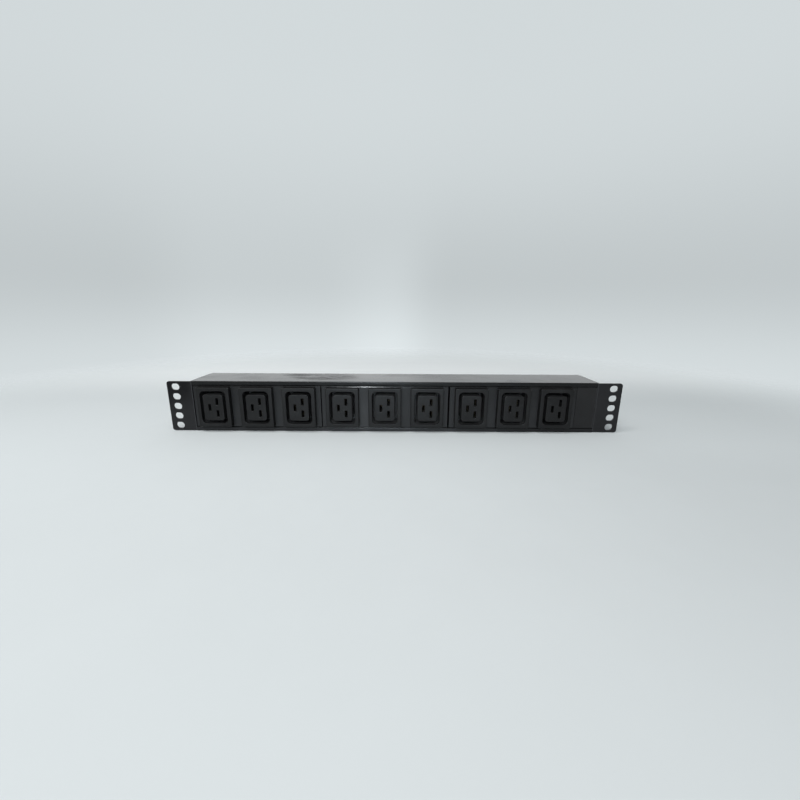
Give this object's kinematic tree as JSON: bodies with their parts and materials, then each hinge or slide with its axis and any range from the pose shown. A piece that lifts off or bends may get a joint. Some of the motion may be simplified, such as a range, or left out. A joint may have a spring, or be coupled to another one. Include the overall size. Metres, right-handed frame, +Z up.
{
  "type": "rack power strip",
  "caption": "Slim black 19-inch rack power strip: a row of recessed high-current outlets in an extruded case, a slotted ear at each end and a cable gland at the back.",
  "frame": {"origin": "midway between the two ears, on the middle row of rack slots, on the ears' back faces, which is the plane of the rack's rails", "axes": "+X to the right seen from the front, +Y to the back into the rack, +Z up; the outlets face -Y"},
  "size_m": [0.4826, 0.0809, 0.055],
  "materials": {
    "case_black": "black anodised and smooth, semi-gloss",
    "ear_black": "black powder coat, satin, over folded steel",
    "black_screw": "black oxide",
    "zinc_screw": "zinc plated",
    "outlet_black": "fine spark-eroded texture",
    "core_black": "fine spark-eroded texture",
    "cover_black": "moulded, plain",
    "brass": "as rolled",
    "tinned_metal": "tin plated brass",
    "terminal_white": "moulded polyamide",
    "insulating_sheet": "plain film",
    "wire_brown": "extruded insulation",
    "wire_blue": "extruded insulation",
    "wire_green": "extruded insulation with a yellow stripe",
    "gland_nylon": "moulded polyamide",
    "rubber_black": "moulded"
  },
  "bodies": {
    "strip": {"blank_plate": "outlet_black", "chassis_bond_wire": "wire_green", "chassis_earth_screw": "zinc_screw", "earth_link_wires": "wire_green", "earth_lock_washer": "zinc_screw", "earth_nut": "zinc_screw", "earth_ring_lug": "tinned_metal", "earth_strip_left": "brass", "earth_strip_middle": "brass", "earth_strip_right": "brass", "earth_supply_lead": "wire_green", "end_cap_screws": "black_screw", "extruded_case": "case_black", "gland_body": "gland_nylon", "gland_gasket": "rubber_black", "gland_locknut": "gland_nylon", "insulating_sheet": "insulating_sheet", "left_ear_bracket": "ear_black", "line_link_wires": "wire_brown", "line_strip_left": "brass", "line_strip_middle": "brass", "line_strip_right": "brass", "line_supply_lead": "wire_brown", "neutral_link_wires": "wire_blue", "neutral_strip_left": "brass", "neutral_strip_middle": "brass", "neutral_strip_right": "brass", "neutral_supply_lead": "wire_blue", "outlet_core_1": "core_black", "outlet_core_2": "core_black", "outlet_core_3": "core_black", "outlet_core_4": "core_black", "outlet_core_5": "core_black", "outlet_core_6": "core_black", "outlet_core_7": "core_black", "outlet_core_8": "core_black", "outlet_core_9": "core_black", "outlet_frame_left": "outlet_black", "outlet_frame_middle": "outlet_black", "outlet_frame_right": "outlet_black", "push_on_terminals": "tinned_metal", "rear_cover_left": "cover_black", "rear_cover_middle": "cover_black", "rear_cover_right": "cover_black", "rear_cover_screws": "zinc_screw", "right_ear_bracket": "ear_black", "terminal_block": "terminal_white", "terminal_block_screws": "zinc_screw", "terminal_clamps": "brass", "terminal_screws": "zinc_screw"},
    "gland_seal_ring": {"gland_seal": "rubber_black"},
    "gland_nut": {"gland_dome_nut": "gland_nylon"}
  },
  "joints": [
    {"name": "gland_nut_travel", "type": "slide", "parent": "strip", "child": "gland_seal_ring", "axis": [0, -1, 0], "range_m": [0, 0.0031]},
    {"name": "gland_nut_turn", "type": "hinge", "parent": "gland_seal_ring", "child": "gland_nut", "pos_m": [0.15, 0.062, 0], "axis": [0, -1, 0], "range_deg": [0, 720]}
  ],
  "couplings": [
    {"joint": "gland_nut_travel", "follows": "gland_nut_turn", "m_per_rad": 0.00023873}
  ]
}
